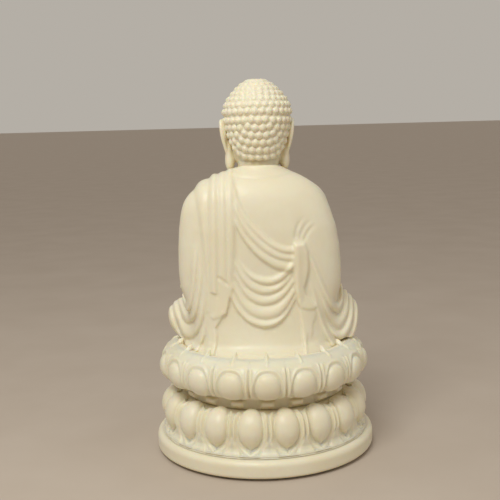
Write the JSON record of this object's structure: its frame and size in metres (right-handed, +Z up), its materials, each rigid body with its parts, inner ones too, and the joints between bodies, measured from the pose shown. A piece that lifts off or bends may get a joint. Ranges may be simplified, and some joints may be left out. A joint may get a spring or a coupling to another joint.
{
  "type": "buddha statue",
  "caption": "Seated Buddha figurine in ivory-coloured resin, in draped robes with curled hair, on a round double lotus pedestal with a felt base; stands free on a table or shelf.",
  "frame": {"origin": "centre of the underside of the felt base, on the surface that the statue stands on", "axes": "+Z up along the pedestal's axis; the figure faces -Y and its left hand side is +X"},
  "size_m": [0.12, 0.12, 0.2],
  "materials": {
    "ivory_resin": "satin",
    "steel": "satin",
    "felt": "matte"
  },
  "bodies": {
    "root": {"base_felt": "felt", "plinth": "ivory_resin", "lower_lotus_core": "ivory_resin", "waist_ring": "ivory_resin", "upper_lotus_core": "ivory_resin", "lower_petal_01": "ivory_resin", "lower_petal_02": "ivory_resin", "lower_petal_03": "ivory_resin", "lower_petal_04": "ivory_resin", "lower_petal_05": "ivory_resin", "lower_petal_06": "ivory_resin", "lower_petal_07": "ivory_resin", "lower_petal_08": "ivory_resin", "lower_petal_09": "ivory_resin", "lower_petal_10": "ivory_resin", "lower_petal_11": "ivory_resin", "lower_petal_12": "ivory_resin", "lower_petal_13": "ivory_resin", "lower_petal_14": "ivory_resin", "lower_petal_15": "ivory_resin", "lower_petal_16": "ivory_resin", "lower_petal_17": "ivory_resin", "lower_petal_18": "ivory_resin", "upper_petal_01": "ivory_resin", "upper_petal_02": "ivory_resin", "upper_petal_03": "ivory_resin", "upper_petal_04": "ivory_resin", "upper_petal_05": "ivory_resin", "upper_petal_06": "ivory_resin", "upper_petal_07": "ivory_resin", "upper_petal_08": "ivory_resin", "upper_petal_09": "ivory_resin", "upper_petal_10": "ivory_resin", "upper_petal_11": "ivory_resin", "upper_petal_12": "ivory_resin", "upper_petal_13": "ivory_resin", "upper_petal_14": "ivory_resin", "upper_petal_15": "ivory_resin", "upper_petal_16": "ivory_resin", "upper_petal_17": "ivory_resin", "upper_petal_18": "ivory_resin", "torso_front": "ivory_resin", "torso_back": "ivory_resin", "knee_block": "ivory_resin", "left_hip": "ivory_resin", "right_hip": "ivory_resin", "left_sleeve": "ivory_resin", "right_sleeve": "ivory_resin", "left_hand": "ivory_resin", "right_hand": "ivory_resin", "head": "ivory_resin", "hair_cap": "ivory_resin", "topknot": "ivory_resin", "topknot_jewel": "ivory_resin", "tie_rod": "steel", "tie_rod_washer": "steel", "tie_rod_nut": "steel", "neck_dowel": "steel", "left_arm_dowel": "steel", "right_arm_dowel": "steel"}
  },
  "joints": []
}
